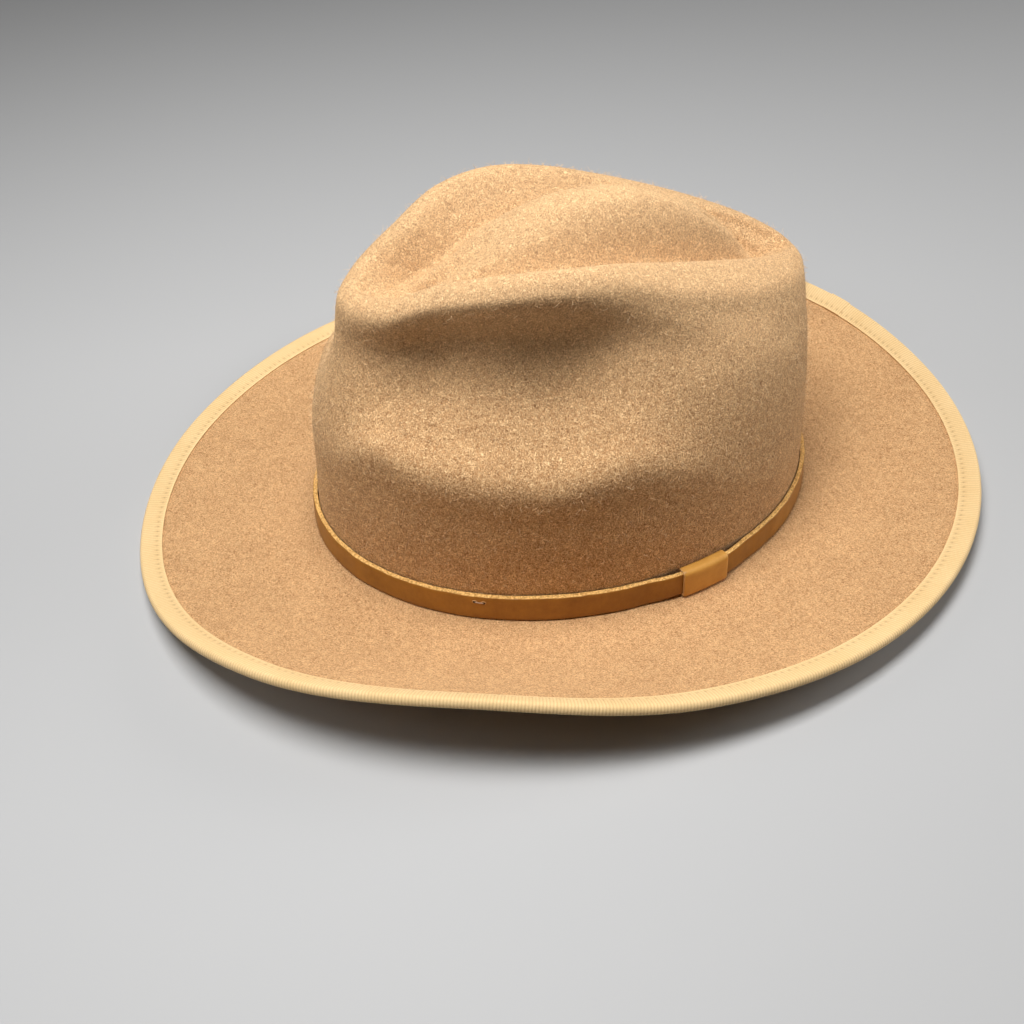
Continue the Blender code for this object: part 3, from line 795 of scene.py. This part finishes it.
class Term:
    """A number in a material's node tree, with arithmetic that adds Math nodes."""

    def __init__(self, tree, socket):
        self.tree = tree
        self.socket = socket

    def math(self, operation, *others, clamp=False):
        """Add a Math node on this number and others, and give its result."""
        node = self.tree.nodes.new("ShaderNodeMath")
        node.operation = operation
        node.use_clamp = clamp
        for entry, source in zip(node.inputs, (self, *others)):
            plug(self.tree, entry, source)
        return Term(self.tree, node.outputs[0])

    def __add__(self, other):
        return self.math("ADD", other)

    def __sub__(self, other):
        return self.math("SUBTRACT", other)

    def __mul__(self, other):
        return self.math("MULTIPLY", other)

    def __rsub__(self, other):
        return self * -1.0 + other

    def __abs__(self):
        return self.math("ABSOLUTE")

    __radd__ = __add__
    __rmul__ = __mul__

    def held(self):
        """The number kept between 0 and 1."""
        return self.math("ADD", 0.0, clamp=True)


def plug(tree, entry, source):
    """Link a term to a socket, or set the socket's plain value."""
    if isinstance(source, Term):
        tree.links.new(source.socket, entry)
    else:
        entry.default_value = source


class Finish:
    """A material with a Principled shader, whose plain values are set on the shader's own sockets."""

    def __init__(self, name, **values):
        self.material = bpy.data.materials.new(name)
        self.material.use_nodes = True
        self.tree = self.material.node_tree
        self.shader = self.tree.nodes["Principled BSDF"]
        for label, value in values.items():
            self.shader.inputs[label.replace("_", " ")].default_value = value
        self.place = self.node("ShaderNodeTexCoord", {}, {}, "Object")

    def node(self, kind, settings, sockets, output=0):
        """Add a node of a type, give it settings and socket values, and return one output."""
        node = self.tree.nodes.new(kind)
        for label, value in settings.items():
            setattr(node, label, value)
        for label, value in sockets.items():
            plug(self.tree, node.inputs[label], value)
        return Term(self.tree, node.outputs[output])

    def noise(self, scale, detail=2.0, roughness=0.5, distortion=0.0, place=None):
        """Noise of a number of features in a metre."""
        return self.node("ShaderNodeTexNoise", {}, {
            "Vector": place or self.place, "Scale": scale, "Detail": detail, "Roughness": roughness,
            "Distortion": distortion})

    def stretched(self, scale):
        """The place with each axis multiplied by a number."""
        return self.node("ShaderNodeVectorMath", {"operation": "MULTIPLY"}, {0: self.place, 1: scale})

    def height(self):
        """Height above the table."""
        return self.node("ShaderNodeSeparateXYZ", {}, {"Vector": self.place}, "Z")

    def mark(self, name):
        """A value stored on the mesh's points."""
        return self.node("ShaderNodeAttribute", {"attribute_name": name}, {}, "Fac")

    def ramp(self, value, low, high):
        """0 where the value is below low, 1 above high, smooth between."""
        return self.node("ShaderNodeMapRange", {"interpolation_type": "SMOOTHSTEP"}, {
            "Value": value, "From Min": low, "From Max": high})

    def blend(self, share, first, second):
        """Colour from first to second by a share."""
        return self.node("ShaderNodeMix", {"data_type": "RGBA"}, {"Factor": share, 6: first, 7: second}, 2)

    def relief(self, height, distance, strength=1.0):
        """Bump of a height, where 1 is a distance in metres."""
        bump = self.node("ShaderNodeBump", {}, {"Height": height, "Distance": distance, "Strength": strength})
        plug(self.tree, self.shader.inputs["Normal"], bump)

    def give(self, **terms):
        """Link terms to the shader's sockets and return the material."""
        for label, term in terms.items():
            plug(self.tree, self.shader.inputs[label.replace("_", " ")], term)
        return self.material


def felt_finish():
    """Napped wool: a mottled ground under pale curly fibres, the thin bands where a noise is near 0.5, with a
    painted highlight that makes the ground paler towards the crown's top.
    """
    felt = Finish("wool_felt", Sheen_Weight=0.22, Sheen_Roughness=0.45, Sheen_Tint=(1.0, 0.70, 0.38, 1.0),
                  Specular_IOR_Level=0.25)
    nap = felt.mark("nap")
    patch = felt.noise(45.0, 3.0, 0.6)
    mottle = felt.noise(420.0, 3.0, 0.65)
    grain = felt.noise(1500.0, 2.0, 0.6)
    curl = felt.noise(880.0, 1.0, 0.5, 1.4)
    twist = felt.noise(1500.0, 1.0, 0.5, 1.0)
    fibre = 1.0 - felt.ramp(abs(curl - 0.5), 0.0, 0.050)
    fine_fibre = 1.0 - felt.ramp(abs(twist - 0.47), 0.0, 0.05)
    tone = ((patch - 0.5) * 0.35 + (mottle - 0.5) * 0.8 + (grain - 0.5) * 2.1 + 0.46).held()
    deep = felt.blend(nap, (0.270, 0.122, 0.042, 1.0), (0.165, 0.066, 0.019, 1.0))
    pale = felt.blend(nap, (0.720, 0.420, 0.195, 1.0), (0.570, 0.315, 0.138, 1.0))
    ground = felt.blend(tone, deep, pale)
    # Painted highlight: the ground is made up to 15% paler from 6 to 12 cm above the table, so the crown's
    # top looks lit.
    ground = felt.blend(felt.ramp(felt.height(), 0.06, 0.12) * 0.15, ground, (0.930, 0.700, 0.420, 1.0))
    colour = felt.blend(fibre * (0.42 + nap * 0.50), ground, (0.980, 0.670, 0.355, 1.0))
    colour = felt.blend(fine_fibre * (0.28 + nap * 0.44), colour, (0.950, 0.620, 0.310, 1.0))
    felt.relief(grain * 0.5 + fibre * 0.35 + fine_fibre * 0.3 + mottle * 0.6, 0.00030, 0.60)
    return felt.give(Base_Color=colour, Roughness=0.95 - grain * 0.1)


def nap_finish():
    """Single wool fibres, paler than the felt under them."""
    nap = Finish("wool_nap", Roughness=0.8, Specular_IOR_Level=0.3)
    colour = nap.blend(nap.noise(700.0), (0.660, 0.400, 0.190, 1.0), (0.980, 0.760, 0.480, 1.0))
    return nap.give(Base_Color=colour)


def ribbon_finish():
    """Ribbed ribbon: gold, with painted shade in the furrows between ribs and in the needle holes."""
    ribbon = Finish("ribbon", Sheen_Weight=0.20, Sheen_Roughness=0.35, Sheen_Tint=(1.0, 0.9, 0.7, 1.0),
                    Specular_IOR_Level=0.30)
    cloud = ribbon.noise(60.0, 3.0, 0.6)
    grain = ribbon.noise(2600.0, 2.0, 0.6)
    tone = ((cloud - 0.5) * 0.6 + (grain - 0.5) * 0.9 + 0.5).held()
    colour = ribbon.blend(tone, (0.685, 0.458, 0.195, 1.0), (0.893, 0.656, 0.357, 1.0))
    # Painted shade: the colour darkens towards brown in the furrows between the ribs.
    colour = ribbon.blend((ribbon.mark("furrow") * 0.34).held(), colour, (0.300, 0.165, 0.055, 1.0))
    # Painted shade: the colour darkens round each needle hole, standing for the shade inside it.
    colour = ribbon.blend((ribbon.mark("hole") * 0.55).held(), colour, (0.240, 0.130, 0.045, 1.0))
    ribbon.relief(grain, 0.00008, 0.5)
    return ribbon.give(Base_Color=colour, Roughness=0.78 - (grain - 0.5) * 0.2)


def thread_finish(name, dark, light):
    """Sewing thread: a twist of fine bands across it."""
    thread = Finish(name, Sheen_Weight=0.15, Specular_IOR_Level=0.35)
    grain = thread.noise(5200.0, 1.0, 0.5)
    thread.relief(grain, 0.00005, 0.5)
    return thread.give(Base_Color=thread.blend(grain, dark, light), Roughness=0.72 - (grain - 0.5) * 0.2)


def strap_finish():
    """Smooth caramel leather, with a pale rough raw edge where the mesh marks it."""
    strap = Finish("brown_leather", Specular_IOR_Level=0.35, Coat_Weight=0.06, Coat_Roughness=0.35)
    raw = strap.ramp(strap.mark("raw"), 0.60, 1.0)
    cloud = strap.noise(90.0, 4.0, 0.65)
    pore = strap.noise(1900.0, 3.0, 0.6)
    crease = strap.noise(500.0, 3.0, 0.7, 0.6, strap.stretched((1.0, 1.0, 0.35)))
    tone = ((cloud - 0.5) * 1.3 + (pore - 0.5) * 0.35 + (crease - 0.5) * 0.35 + 0.5).held()
    face = strap.blend(tone, (0.215, 0.082, 0.009, 1.0), (0.440, 0.195, 0.026, 1.0))
    frayed = strap.ramp(strap.noise(1500.0, 3.0, 0.7), 0.36, 0.60)
    edge = strap.blend(frayed, (0.500, 0.240, 0.055, 1.0), (0.980, 0.610, 0.210, 1.0))
    strap.relief(pore * 0.35 + crease * 0.4 + raw * frayed * 2.5, 0.00010, 0.6)
    return strap.give(Base_Color=strap.blend(raw, face, edge),
                      Roughness=0.42 + (pore - 0.5) * 0.25 + raw * 0.45)


def sleeve_finish():
    """Light tan leather, a little darker and rougher on its cut edges."""
    sleeve = Finish("tan_leather", Specular_IOR_Level=0.45, Coat_Weight=0.08, Coat_Roughness=0.40)
    cut = sleeve.ramp(sleeve.mark("cut"), 0.2, 0.9)
    cloud = sleeve.noise(160.0, 4.0, 0.65)
    pore = sleeve.noise(1700.0, 3.0, 0.6)
    tone = ((cloud - 0.5) * 1.2 + (pore - 0.5) * 0.5 + 0.5).held()
    colour = sleeve.blend(tone, (0.480, 0.215, 0.034, 1.0), (0.690, 0.355, 0.070, 1.0))
    colour = sleeve.blend(cut * 0.6, colour, (0.720, 0.440, 0.190, 1.0))
    sleeve.relief(pore * 0.5 + cloud * 0.4, 0.00010, 0.55)
    return sleeve.give(Base_Color=colour, Roughness=0.45 + (pore - 0.5) * 0.25 + cut * 0.2)


def hole_finish():
    """Leather of the punched holes: pale lips, and painted shade inside, a near black where the hole's depth
    would lie in shade.
    """
    hole = Finish("punched_leather", Specular_IOR_Level=0.35)
    grain = hole.noise(3000.0, 2.0, 0.6)
    lip = hole.blend(grain, (0.330, 0.150, 0.045, 1.0), (0.620, 0.360, 0.150, 1.0))
    # Painted shade: where the mesh marks the hole's inside, the colour is near black.
    return hole.give(Base_Color=hole.blend(hole.mark("deep"), lip, (0.020, 0.009, 0.003, 1.0)),
                     Roughness=0.7 + (grain - 0.5) * 0.2)


# Stage

def make_stage():
    """Pale floor, soft lights behind, beside and over the hat, and the camera."""
    mesh = bpy.data.meshes.new("floor")
    half = FLOOR_HALF
    mesh.from_pydata([(-half, -half, 0.0), (half, -half, 0.0), (half, half, 0.0), (-half, half, 0.0)], [],
                     [(0, 1, 2, 3)])
    floor = bpy.data.objects.new("floor", mesh)
    bpy.context.scene.collection.objects.link(floor)
    pale = Finish("pale_floor", Roughness=0.6, Specular_IOR_Level=0.3)
    mesh.materials.append(pale.give(Base_Color=(0.42, 0.42, 0.42, 1.0)))
    for name, place, width, depth, power in LIGHTS:
        light = bpy.data.lights.new(name, "AREA")
        light.shape = "RECTANGLE"
        light.size = width
        light.size_y = depth
        light.energy = power
        lamp = bpy.data.objects.new(name, light)
        lamp.location = place
        lamp.rotation_euler = (-Vector(place)).to_track_quat("-Z", "Y").to_euler()
        bpy.context.scene.collection.objects.link(lamp)
    world = bpy.data.worlds.new("studio")
    world.use_nodes = True
    world.node_tree.nodes["Background"].inputs["Color"].default_value = (1.0, 0.93, 0.84, 1.0)
    world.node_tree.nodes["Background"].inputs["Strength"].default_value = 0.015
    bpy.context.scene.world = world
    bpy.context.scene.view_settings.view_transform = "Standard"
    lens = bpy.data.cameras.new("camera")
    lens.lens = CAMERA_LENS
    lens.sensor_width = 36.0
    lens.clip_start = 0.01
    camera = bpy.data.objects.new("camera", lens)
    look = (Vector(CAMERA_AIM) - Vector(CAMERA_PLACE)).to_track_quat("-Z", "Y").to_matrix().to_4x4()
    roll = Matrix.Rotation(np.radians(CAMERA_ROLL), 4, "Z")
    camera.matrix_world = Matrix.Translation(CAMERA_PLACE) @ look @ roll
    bpy.context.scene.collection.objects.link(camera)
    bpy.context.scene.camera = camera


def main():
    """Make every piece, then the stage."""
    path = EdgePath()
    make_felt(felt_finish())
    make_nap(nap_finish())
    make_ribbon(path, ribbon_finish())
    make_stitches(path, thread_finish("gold_thread", (0.50, 0.33, 0.14, 1.0), (0.78, 0.58, 0.30, 1.0)))
    make_strap(strap_finish())
    make_sleeve(sleeve_finish())
    make_tack(hole_finish(), thread_finish("brown_thread", (0.34, 0.20, 0.12, 1.0), (0.66, 0.48, 0.35, 1.0)))
    make_stage()


main()
